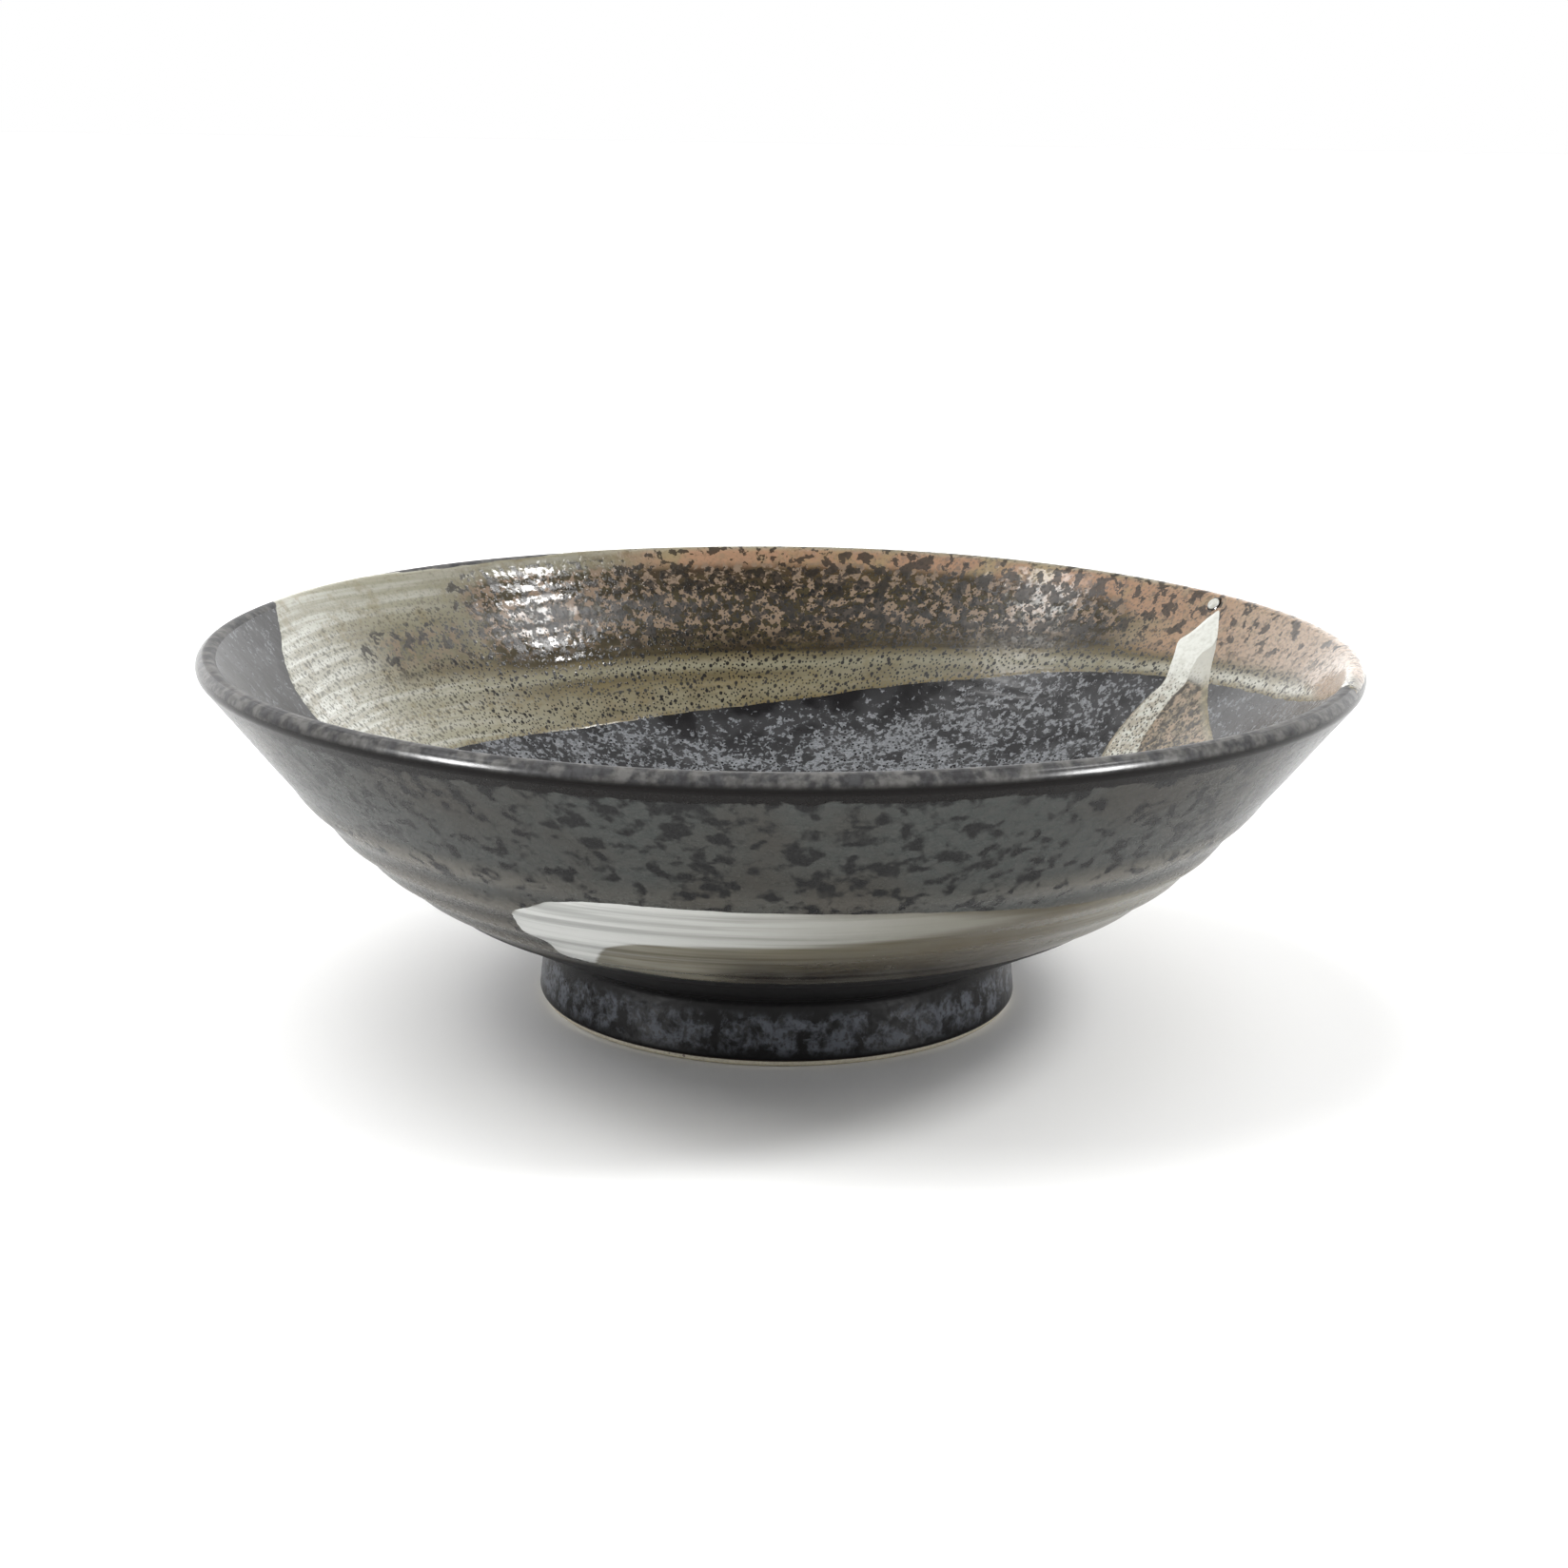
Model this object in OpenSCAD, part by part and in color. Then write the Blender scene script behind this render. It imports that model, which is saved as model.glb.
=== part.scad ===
// Wide, shallow tea bowl: thrown stoneware on a turned foot ring, under a dark glaze, with
// broad strokes of pale slip brushed inside and out.
// Millimetres, +Z up. The origin is the middle of the circle that the foot rests on,
// and the outer stroke starts on the -Y side.

/* [Bowl] */
// Diameter over the lip
rim_d = 156; // [140:1:176]
// Height from the resting edge to the top of the lip
bowl_h = 50; // [46:0.5:60]
// Thickness of the rounded lip, glaze included
lip_t = 3; // [2.4:0.1:4]
// Steepness of the wall at the lip, degrees from level
lip_slope = 51; // [46:1:58]
// Steepness of the wall where it leaves the foot, degrees from level
foot_slope = 22.5; // [18:0.5:28]
// Height of the inner floor at the centre
floor_z = 13; // [12:0.5:15]

/* [Foot] */
// Diameter of the foot at its base, glaze included
foot_d = 66.4; // [60:0.4:74]
// Height at which the wall leaves the foot
foot_h = 9; // [8.5:0.25:10.5]
// Thickness of the foot ring's clay
foot_t = 5.6; // [4:0.2:8]
// How far the foot leans inward over its height
foot_lean = 0.9; // [0:0.1:2]
// Height of the glazed hollow inside the foot
recess_h = 7; // [5.5:0.25:7.5]
// Height of the bare clay band at the resting edge
bare_h = 0.85; // [0.8:0.05:1.5]

/* [Glaze and slip] */
// Thickness of the glaze
glaze_t = 0.5; // [0.3:0.05:0.7]
// Thickness of one layer of brushed slip
slip_t = 0.2; // [0.1:0.05:0.3]
// Height of the throwing ridges on the outside
ridge_h = 0.25; // [0.05:0.05:0.4]
// Distance from ridge to ridge, measured outward
ridge_pitch = 4.7; // [4:0.1:6]
// Number of throwing ridges
ridges = 5; // [1:1:5]

/* [Hidden] */
$fn = 96;

clay_colour = [0.80, 0.76, 0.66];
glaze_colour = [0.20, 0.21, 0.22];
lip_colour = [0.10, 0.09, 0.09];
slip_colour = [0.62, 0.58, 0.50];
white_colour = [0.86, 0.87, 0.84];

wall_steps = 72;    // points along the outer wall
inside_steps = 40;  // points along the inner wall
arc_steps = 8;      // points along each rounded edge
stroke_step = 6;    // degrees between points on a curved stroke edge

// Directions and curves in the half plane that is spun about Z
function along(a) = [cos(a), sin(a)];
function right_of(v) = [v.y, -v.x] / norm(v);
function miter(a, b) = (a + b) / (1 + a * b);
function arc(c, r, from, to) = [
    for (i = [0:arc_steps]) c + r * along(from + (to - from) * i / arc_steps)
];
function reversed(p) = [for (i = [len(p) - 1:-1:0]) p[i]];
function bezier(p, t) = let (s = 1 - t)
    s * s * s * p[0] + 3 * s * s * t * p[1] + 3 * s * t * t * p[2] + t * t * t * p[3];
function bezier_heading(p, t) = let (s = 1 - t)
    s * s * (p[1] - p[0]) + 2 * s * t * (p[2] - p[1]) + t * t * (p[3] - p[2]);

// Lip: a full round between the two walls
rim_r = rim_d / 2;
lip_r = lip_t / 2;
lip_c = [rim_r - lip_r, bowl_h - lip_r];
lip_side = right_of(along(lip_slope));

// Foot: both sides lean inward together
foot_r = foot_d / 2;
clay_foot_r = foot_r - glaze_t;
clay_hollow_r = clay_foot_r - foot_t;
hollow_r = clay_hollow_r - glaze_t;
seam_z = recess_h + glaze_t;
edge_r = 0.8;  // rounding of the resting edge
function lean(r, z) = [r - foot_lean * z / foot_h, z];
foot_top = lean(foot_r, foot_h);

// Wall: one curve inside and one outside. Each leaves its ends along a given slope, and a
// pull, as a part of the rim's radius, says how far it keeps to that slope.
floor_pull = 0.59;
inner_lip_pull = 0.36;
foot_pull = 0.36;
outer_lip_pull = 0.26;
lip_out = lip_c + lip_r * lip_side;
lip_in = lip_c - lip_r * lip_side;
outer_curve = [
    foot_top,
    foot_top + foot_pull * rim_r * along(foot_slope),
    lip_out - outer_lip_pull * rim_r * along(lip_slope),
    lip_out
];
inner_curve = [
    [0, floor_z],
    [floor_pull * rim_r, floor_z],
    lip_in - inner_lip_pull * rim_r * along(lip_slope),
    lip_in
];

// Throwing ridges swell out of the outer wall, and the topmost one ends at ridge_end
lip_to_ridges = 10.5;
ridge_end = rim_r - lip_to_ridges;
ridge_start = ridge_end - ridges * ridge_pitch;
function ridge(r) = r > ridge_start && r < ridge_end
    ? ridge_h * (1 - cos(360 * (r - ridge_start) / ridge_pitch)) / 2
    : 0;

// A point on either wall, raised off the glaze's surface by h (negative goes into the clay)
function outer_point(t, h) = let (p = bezier(outer_curve, t))
    p + (ridge(p.x) + h) * right_of(bezier_heading(outer_curve, t));
function inner_point(t, h) =
    bezier(inner_curve, t) - h * right_of(bezier_heading(inner_curve, t));
function outer_wall(h, from = 0) = [
    for (i = [from:wall_steps]) outer_point(i / wall_steps, h)
];
function inner_wall(h) = [
    for (i = [0:inside_steps]) inner_point(i / inside_steps, h)
];

// Clay under the corner between foot and wall, where the two glaze skins meet
clay_corner = foot_top + glaze_t * miter([-1, 0], -right_of(along(foot_slope)));
clay_wall = concat([clay_corner], outer_wall(-glaze_t, 1));

// Outlines of the slip, seen from above. They are drawn for a bowl of rim radius drawn_r, and
// grow with the rim. A place is a radius and a bearing in degrees: inside, clockwise from +Y;
// outside, from -Y towards +X.
drawn_r = 78;
grow = rim_r / drawn_r;
function inside_at(r, bearing) = grow * r * [sin(bearing), cos(bearing)];
function outside_at(r, bearing) = grow * r * [sin(bearing), -cos(bearing)];

// Broad inner stroke: its lower edge keeps to one radius, then climbs to the lip
broad_r = 54;         // radius of the lower edge before it climbs
broad_from = -66;     // bearing where the lower edge begins
broad_turn = -22;     // bearing where it begins to climb
broad_to = 112;       // bearing where it meets the lip
broad_climb = 0.145;  // radius gained in each degree
broad_outline = concat(
    [inside_at(drawn_r, -73), inside_at(74, -76), inside_at(68, -83), inside_at(62, -85.5)],
    [inside_at(57, -82), inside_at(54.5, -74)],
    [for (b = [broad_from:stroke_step:broad_to])
        inside_at(broad_r + broad_climb * max(0, b - broad_turn), b)],
    [for (b = [broad_to:-stroke_step:broad_from]) inside_at(drawn_r, b)]
);

// White streak: a narrow tip near the lip that opens into a brush-wide band below it
streak_outline = grow * [
    [65.4, 36], [60.2, 36.4], [57.2, 31.6], [49.2, 28], [40, 17], [35, 2], [33, -16], [30, -32],
    [33, -42], [42, -45], [50, -36], [56, -22], [59.5, -6], [60.8, 12], [63, 24]
];

// Outer stroke: a band with one blunt and one thinning end
band_low = 47.4;   // radius of the lower edge
band_high = 63.4;  // radius of the upper edge
band_from = -25;   // bearing of the full width nearest the blunt end
band_to = 140;     // bearing where the band begins to thin
band_end = 165;    // bearing of its tip
band_outline = concat(
    [outside_at(60, -31.8), outside_at(62.4, -27)],
    [for (b = [band_from:stroke_step:band_to]) outside_at(band_high, b)],
    [outside_at(61, 150), outside_at(57, band_end), outside_at(51, 150)],
    [for (b = [band_to:-stroke_step:band_from]) outside_at(band_low, b)],
    [outside_at(48.6, -30.3), outside_at(55.5, -33)]
);

// A ring of the given cross-section
module spun(section) {
    rotate_extrude() polygon(section);
}

// A thin layer on a wall, cut to an outline seen from above
module brushed(section, outline) {
    intersection() {
        spun(section);
        linear_extrude(bowl_h) polygon(outline);
    }
}

// Cross-section of a layer on the inner or the outer wall, between two heights off the glaze
function inner_layer(low, high) = concat(inner_wall(low), reversed(inner_wall(high)));
function outer_layer(low, high) = concat(outer_wall(low), reversed(outer_wall(high)));

// Thrown stoneware: floor, wall and lip, down to the seam with the foot ring
module clay_bowl() {
    color(clay_colour) spun(concat(
        [[0, seam_z], lean(clay_foot_r, seam_z)],
        clay_wall,
        arc(lip_c, lip_r - glaze_t, lip_slope - 90, lip_slope + 90),
        reversed(inner_wall(-glaze_t))
    ));
}

// Turned foot ring, bare where it rests
module foot_ring() {
    outside = lean(clay_foot_r, edge_r);
    inside = lean(clay_hollow_r, edge_r);
    color(clay_colour) spun(concat(
        arc(inside + [edge_r, 0], edge_r, 180, 270),
        arc(outside - [edge_r, 0], edge_r, -90, 0),
        [lean(clay_foot_r, seam_z), lean(clay_hollow_r, seam_z)]
    ));
}

module inner_glaze() {
    color(glaze_colour) spun(inner_layer(-glaze_t, 0));
}

module lip_glaze() {
    color(lip_colour) spun(concat(
        arc(lip_c, lip_r, lip_slope - 90, lip_slope + 90),
        arc(lip_c, lip_r - glaze_t, lip_slope + 90, lip_slope - 90)
    ));
}

module outer_glaze() {
    color(glaze_colour) spun(concat(outer_wall(0), reversed(clay_wall)));
}

// The glaze stops in a rounded roll above the bare clay
module foot_glaze() {
    roll = lean(clay_foot_r, bare_h + glaze_t);
    color(glaze_colour) spun(concat(
        [clay_corner, lean(clay_foot_r, seam_z)],
        arc(roll, glaze_t, -90, 0),
        [foot_top]
    ));
}

// Glaze over the hollow under the floor and down the inside of the foot
module recess_glaze() {
    roll = lean(clay_hollow_r, bare_h + glaze_t);
    color(glaze_colour) spun(concat(
        [[0, seam_z], [0, recess_h], lean(hollow_r, recess_h)],
        arc(roll, glaze_t, 180, 270),
        [lean(clay_hollow_r, seam_z)]
    ));
}

module inner_brush_stroke() {
    color(slip_colour) brushed(inner_layer(0, slip_t), broad_outline);
}

// The streak lies over the end of the broad stroke
module inner_white_streak() {
    color(white_colour) difference() {
        brushed(inner_layer(0, 2 * slip_t), streak_outline);
        brushed(inner_layer(0, slip_t), broad_outline);
    }
}

// A single drop of white on the broad stroke, just below the lip
module white_drop() {
    drop_r = 0.8;
    drop_at = inside_at(73.6, 60.4);
    color(white_colour) intersection() {
        spun(inner_layer(slip_t, 3 * slip_t));
        translate(drop_at) cylinder(r = drop_r, h = bowl_h);
    }
}

module outer_brush_stroke() {
    color(slip_colour) brushed(outer_layer(0, slip_t), band_outline);
}

clay_bowl();
foot_ring();
inner_glaze();
lip_glaze();
outer_glaze();
foot_glaze();
recess_glaze();
inner_brush_stroke();
inner_white_streak();
white_drop();
outer_brush_stroke();
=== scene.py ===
import math

import bpy
import numpy as np
from mathutils import Matrix, Vector, noise
from mathutils.kdtree import KDTree


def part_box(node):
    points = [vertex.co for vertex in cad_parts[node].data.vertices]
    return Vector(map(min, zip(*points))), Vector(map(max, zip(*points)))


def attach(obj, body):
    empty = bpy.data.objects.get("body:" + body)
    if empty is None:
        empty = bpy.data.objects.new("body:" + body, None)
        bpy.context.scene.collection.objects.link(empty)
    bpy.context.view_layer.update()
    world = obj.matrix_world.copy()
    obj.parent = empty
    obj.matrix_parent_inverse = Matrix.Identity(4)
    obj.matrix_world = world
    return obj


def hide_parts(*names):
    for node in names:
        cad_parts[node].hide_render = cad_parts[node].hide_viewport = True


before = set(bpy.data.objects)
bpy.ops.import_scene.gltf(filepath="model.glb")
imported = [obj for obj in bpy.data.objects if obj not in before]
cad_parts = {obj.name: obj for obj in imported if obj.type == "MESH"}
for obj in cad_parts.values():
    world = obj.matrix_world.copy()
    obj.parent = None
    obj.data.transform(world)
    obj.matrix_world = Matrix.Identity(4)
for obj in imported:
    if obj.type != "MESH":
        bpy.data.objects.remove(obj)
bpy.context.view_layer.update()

# ------------ sizes
# Lengths are in millimetres, and MM turns them into the frame's metres.
# Bearings are in degrees: inside the bowl clockwise from +Y, outside it from -Y towards +X.
MM = 0.001


def reach(node, axis):
    """How far a CAD node reaches along +axis, in millimetres."""
    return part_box(node)[1][axis] / MM


LIP_T = 3.0
LIP_SLOPE = math.radians(51)
FOOT_SLOPE = math.radians(22.5)
FOOT_H = 9.0
FOOT_LEAN = 0.9
FOOT_T = 5.6
GLAZE_T = 0.5
EDGE_R = 0.8
FILLET_R = 1.2

RIM_R = round(reach("lip_glaze", 0), 1)
HEIGHT = round(reach("lip_glaze", 2), 1)
SEAM_Z = round(reach("foot_ring", 2), 2)
BARE_H = round(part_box("foot_glaze")[0][2] / MM, 2)
FLOOR_Z = round(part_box("inner_glaze")[0][2] / MM + GLAZE_T, 2)
RECESS_Z = SEAM_Z - GLAZE_T
FOOT_R = reach("foot_glaze", 0) + FOOT_LEAN * (BARE_H + GLAZE_T) / FOOT_H

# The pulls are the Bezier handles of the walls, as parts of the rim's radius
FLOOR_PULL = 0.59
INNER_LIP_PULL = 0.36
FOOT_PULL = 0.36
OUTER_LIP_PULL = 0.26

# Broad throwing ridges on the outside, and finer ones inside
RIDGES = 5
RIDGE_H = 0.25
RIDGE_PITCH = 4.7
LIP_TO_RIDGES = 10.5
INNER_RIDGE_H = 0.04
INNER_RIDGE_PITCH = 2.5

AROUND = 540  # columns of a lathe mesh


# ------------ profile
def along(angle):
    return np.array([math.cos(angle), math.sin(angle)])


def right_of(direction):
    x, y = direction
    return np.array([y, -x]) / math.hypot(x, y)


def bezier(points, t):
    t = np.asarray(t)[:, None]
    s = 1 - t
    a, b, c, d = points
    return s ** 3 * a + 3 * s * s * t * b + 3 * s * t * t * c + t ** 3 * d


def arc(centre, radius, start, stop, steps):
    a = np.linspace(start, stop, steps)
    return centre + radius * np.stack([np.cos(a), np.sin(a)], -1)


def lean(r, z):
    """A point on a side of the foot, which leans inward as it rises."""
    return np.array([r - FOOT_LEAN * z / FOOT_H, z])


def fillet(corner, towards_a, towards_b, radius, steps):
    """An arc that rounds the corner between two directions, from a to b."""
    half = math.acos(float(np.dot(towards_a, towards_b))) / 2
    middle = towards_a + towards_b
    centre = corner + middle / np.linalg.norm(middle) * radius / math.sin(half)
    from_a = corner + towards_a * radius / math.tan(half) - centre
    from_b = corner + towards_b * radius / math.tan(half) - centre
    w = np.linspace(0, 1, steps)[:, None]
    ray = from_a * (1 - w) + from_b * w
    return centre + ray / np.linalg.norm(ray, axis=1)[:, None] * radius


def glazed_profile():
    """The glaze's surface from the middle of the floor, over the lip, down to the bare clay."""
    lip_r = LIP_T / 2
    lip_c = np.array([RIM_R - lip_r, HEIGHT - lip_r])
    side = right_of(along(LIP_SLOPE))
    lip_in, lip_out = lip_c - lip_r * side, lip_c + lip_r * side
    foot_top = lean(FOOT_R, FOOT_H)
    inner = bezier([
        np.array([0, FLOOR_Z]),
        np.array([FLOOR_PULL * RIM_R, FLOOR_Z]),
        lip_in - INNER_LIP_PULL * RIM_R * along(LIP_SLOPE),
        lip_in,
    ], np.linspace(0, 1, 2000))
    lip = arc(lip_c, lip_r, LIP_SLOPE + math.pi / 2, LIP_SLOPE - math.pi / 2, 200)
    outer = bezier([
        foot_top,
        foot_top + FOOT_PULL * RIM_R * along(FOOT_SLOPE),
        lip_out - OUTER_LIP_PULL * RIM_R * along(LIP_SLOPE),
        lip_out,
    ], np.linspace(1, 0, 1600))
    down = lean(FOOT_R, 0) - foot_top
    corner = fillet(foot_top, along(FOOT_SLOPE), down / np.linalg.norm(down), FILLET_R, 60)
    outer = outer[outer[:, 0] > corner[0, 0]]
    roll_c = lean(FOOT_R - GLAZE_T, BARE_H + GLAZE_T)
    roll = arc(roll_c, GLAZE_T, 0, -math.pi / 2, 60)
    foot = corner[-1] + (roll[0] - corner[-1]) * np.linspace(0, 1, 200)[:, None]
    parts = [inner, lip[1:], outer[1:], corner, foot[1:], roll[1:]]
    points = np.concatenate(parts)
    length = np.concatenate([[0], np.cumsum(np.hypot(*np.diff(points, axis=0).T))])
    ends = length[np.cumsum([len(p) for p in parts]) - 1]
    return points, length, ends


PROFILE, LENGTH, ENDS = glazed_profile()
U_LIP_IN, U_LIP_OUT, _, U_FOOT, U_ROLL, U_END = ENDS
U_CORNER = (ENDS[2] + U_FOOT) / 2
HEADING = np.gradient(PROFILE, LENGTH, axis=0)
HEADING /= np.linalg.norm(HEADING, axis=1)[:, None]


def at_length(u, values):
    return np.interp(u, LENGTH, values)


def radius_at(u):
    return at_length(u, PROFILE[:, 0])


# ------------ relief
def smooth(x, low, high):
    t = np.clip((x - low) / (high - low), 0, 1)
    return t * t * (3 - 2 * t)


def bump(x, centre, width):
    return np.exp(-((x - centre) / width) ** 2)


def outer_ridges(r):
    end = RIM_R - LIP_TO_RIDGES
    start = end - RIDGES * RIDGE_PITCH
    wave = (1 - np.cos(2 * math.pi * (r - start) / RIDGE_PITCH)) / 2
    return RIDGE_H * wave * ((r > start) & (r < end))


def relief(u, bearing):
    """Throwing marks and hand wobble of the glaze's surface, along its normal."""
    turn = np.radians(bearing)
    inside = smooth(U_LIP_IN - u, 1, 6) * smooth(u, 3, 12)
    wander = turn + 1.2 * np.sin(5 * turn + u / 4) + 0.9 * np.sin(17 * turn - u)
    spiral = np.sin(2 * math.pi * u / INNER_RIDGE_PITCH + wander)
    drift = 0.6 + 0.4 * np.sin(u / 9.0 + 2 * turn)
    fine = inside * INNER_RIDGE_H / 2 * spiral * drift
    slow = 0.06 * inside * np.sin(u / 3.7 + 1.5 * np.sin(turn))
    outside = smooth(u, U_LIP_OUT, U_LIP_OUT + 5) * smooth(ENDS[2] - u, 0, 5)
    sway = 1 + 0.25 * np.sin(3 * turn + u / 6)
    broad = outside * outer_ridges(radius_at(u)) * sway
    trim = 0.004 * outside * np.sin(2 * math.pi * u / 1.3 + 0.5 * np.sin(turn))
    return fine + slow + broad + trim


def settle(points):
    """The slight unevenness of a bowl thrown by hand. It grows from the foot to the lip."""
    x, y, z = points[..., 0], points[..., 1], points[..., 2]
    turn = np.arctan2(x, y)
    rise = (z / HEIGHT) ** 2
    swell = 1 + rise * (0.0010 * np.sin(2 * turn + 0.7) + 0.0006 * np.sin(3 * turn + 2.1))
    lift = rise * (0.12 * np.sin(2 * turn + 1.9) + 0.08 * np.sin(5 * turn))
    return np.stack([x * swell, y * swell, z + lift], -1)


def spin(r, z, bearing):
    turn = np.radians(bearing)
    return np.stack([r * np.sin(turn), r * np.cos(turn), z + 0 * turn], -1)


def on_wall(u, bearing, lift=0.0):
    """Points at distance u along the profile, raised by lift off the glaze's own surface."""
    raised = relief(u, bearing) + lift
    r = radius_at(u) - at_length(u, HEADING[:, 1]) * raised
    z = at_length(u, PROFILE[:, 1]) + at_length(u, HEADING[:, 0]) * raised
    return settle(spin(r, z, bearing))


def wall_normals(u, bearing):
    """Normals of the surface that on_wall gives, by central differences."""
    du, db = 0.05, 0.05
    across = on_wall(u + du, bearing) - on_wall(u - du, bearing)
    around = on_wall(u, bearing + db) - on_wall(u, bearing - db)
    n = np.cross(around, across)
    size = np.linalg.norm(n, axis=-1, keepdims=True)
    return np.where(size > 1e-9, n / np.maximum(size, 1e-9), [0, 0, 1])


# ------------ outlines of the slip
OUTLINE_STEPS = 150  # points in each stretch of an outline
NEAR_OUTLINE = 1.0   # nearer than this, depth is measured square to the outline


def closed_curve(points, per_side):
    """A smooth closed curve through the points."""
    p = np.array(points, float)
    before, after, beyond = np.roll(p, 1, 0), np.roll(p, -1, 0), np.roll(p, -2, 0)
    t = np.linspace(0, 1, per_side, endpoint=False)[:, None, None]
    bend = 2 * before - 5 * p + 4 * after - beyond
    twist = -before + 3 * p - 3 * after + beyond
    curve = (2 * p + (after - before) * t + bend * t ** 2 + twist * t ** 3) / 2
    return np.swapaxes(curve, 0, 1).reshape(-1, 2)


class Outline:
    """A closed shape on the wall, from places given as a bearing and a distance below the lip."""

    def __init__(self, places, outside=False):
        self.outside = outside
        curve = closed_curve(places, OUTLINE_STEPS)
        self.places = curve
        self.points = self.on_surface(curve[:, 0], curve[:, 1])
        self.tree = KDTree(len(curve))
        for k, point in enumerate(self.points):
            self.tree.insert(point, k)
        self.tree.balance()
        after = np.roll(curve, -1, 0)
        run = self.steps(after - np.roll(curve, 1, 0), curve[:, 1])
        run /= np.linalg.norm(run, axis=1)[:, None]
        area = np.sum(curve[:, 0] * after[:, 1] - after[:, 0] * curve[:, 1])
        self.inward = np.stack([-run[:, 1], run[:, 0]], -1) * np.sign(area)

    def length_at(self, below):
        return U_LIP_OUT + below if self.outside else U_LIP_IN - below

    def turn(self, bearing):
        return 180 - bearing if self.outside else bearing

    def on_surface(self, bearing, below):
        u = self.length_at(below)
        return spin(radius_at(u), at_length(u, PROFILE[:, 1]), self.turn(bearing))

    def steps(self, change, below):
        """Changes of bearing and of distance below the lip, both in millimetres."""
        r = radius_at(self.length_at(below))
        return np.stack([np.radians(change[..., 0]) * r, change[..., 1]], -1)

    def depth(self, bearing, below):
        """How far inside the outline each place is. Negative outside it."""
        bearing, below = np.broadcast_arrays(bearing, below)
        points = self.on_surface(bearing, below).reshape(-1, 3)
        found = [self.tree.find(p) for p in points]
        k = np.array([f[1] for f in found])
        far = np.array([f[2] for f in found])
        change = np.stack([bearing.ravel(), below.ravel()], -1) - self.places[k]
        across = np.sum(self.steps(change, self.places[k, 1]) * self.inward[k], -1)
        depth = np.where(far < NEAR_OUTLINE, across, np.sign(across) * far)
        return depth.reshape(bearing.shape)


# The broad inner stroke, from its start at the left, along its lower edge, to the lip
LOWER_EDGE = [
    (-70, 29.6), (-56, 30.6), (-37.5, 31.6), (-26, 31.2), (-12.5, 30), (-3.75, 28.9),
    (6.25, 27.2), (12.5, 25.5), (20, 23.7), (28.75, 21.6), (40, 18.4), (47.5, 16.6), (60, 14.4),
    (75, 12.2), (87.5, 10), (97.5, 6.9), (104, 4), (109, 1),
]
BROAD = Outline([
    (-74.4, -0.2), (-77.5, 3.7), (-81, 6.9), (-84.4, 11.3), (-85.6, 15.6), (-85, 19), (-82.5, 24),
    (-77, 28)] + LOWER_EDGE + [(111, -2.2), (106, -2.9), (60, -2.9), (0, -2.9), (-20, -2.8),
    (-30, -0.8), (-38, -0.4), (-48, -0.4), (-54, -1.6), (-62, -2.7), (-72, -2),
])

# The second inner stroke: a narrow tip near the lip that opens as it runs down into the bowl
STREAK_LEFT = [
    (61.6, 1.7), (60.7, 3.1), (60, 4.8), (59.2, 6.6), (58.4, 8), (58.9, 10), (60.1, 13.2),
    (60.5, 15.4), (59.7, 18.2), (59.1, 21.5), (58.9, 24.6), (59.3, 27.6), (60.6, 30.8),
    (63.5, 35), (67, 39), (76, 45), (92, 50), (112, 50.5), (128, 46.5),
]
STREAK = Outline(STREAK_LEFT + [
    (137, 40), (136, 33), (127, 27.5), (114, 23.5), (98, 21.8), (88, 21.4), (81, 20.3),
    (75.5, 18.2), (70.7, 15), (67.6, 11.2), (65.2, 7.2), (64.1, 5.4), (62.9, 3.5),
])
STREAK_WHITE = Outline(STREAK_LEFT + [
    (118, 42), (100, 43), (88, 40), (80, 35), (73, 30.5), (67.6, 27), (66, 24.6), (65, 20.5),
    (64.5, 17.3), (64.8, 14.5), (64.1, 12), (63.8, 9.4), (64.6, 7.4), (64.1, 5.4), (62.9, 3.5),
])

DROP_AT = (60.2, 0.9)
DROP_SIZE = (1.4, 1.15)

# The outer stroke, as bearings from -Y towards +X
BAND_R = 55
BAND_START = [
    (-33.4, 33), (-33, 29.8), (-31, 27), (-27.5, 25), (-24, 23.3), (-15, 22), (10, 22.6),
    (25, 24.2),
]
BAND = Outline(BAND_START + [
    (35, 25.4), (60, 26.4), (100, 26.6), (135, 27.4), (150, 29.4), (161, 33), (163.5, 36),
    (158, 38.6), (145, 40.8), (110, 42.6), (70, 43.4), (30, 43.8), (-6, 43.9), (-22, 43.2),
    (-29, 42.4), (-31.4, 40.6), (-31.6, 37.6),
], outside=True)
BAND_WHITE = Outline(BAND_START + [
    (38, 26.2), (20, 28.4), (6, 30.2), (-9, 31), (-17, 31.6), (-21, 33.2), (-23.4, 36),
    (-25.4, 39), (-27, 41.4), (-30, 42.2), (-31.6, 40.4), (-31.6, 37.6),
], outside=True)


# ------------ layers of slip
SLIP_T = 0.17   # a layer of slip above the glaze
FEATHER = 0.9   # how quickly a layer rises from its edge
BURIED = 0.25   # how deep a layer's rim is sunk into the glaze
ROOT_DEPTH = 0.4  # the underside of a layer, below the glaze's surface


def strands(bearing, below, wave, stretch, seed):
    """Noise from -1 to 1, drawn out along the brush's path round the bowl."""
    bearing, below = np.broadcast_arrays(bearing, below)
    place = np.stack([bearing / stretch, below / wave, np.full(bearing.shape, seed)], -1)
    return np.array([noise.noise(p) for p in place.reshape(-1, 3)]).reshape(bearing.shape)


def layer(depth, thickness=SLIP_T):
    """Height of a layer of slip, with a low bead along its edge."""
    rise = thickness * (1 - np.exp(-np.maximum(depth, 0) / FEATHER))
    bead = 0.015 * bump(depth, 0.7, 0.4)
    return np.where(depth > 0, rise + bead, np.maximum(0.35 * depth, -BURIED))


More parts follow.
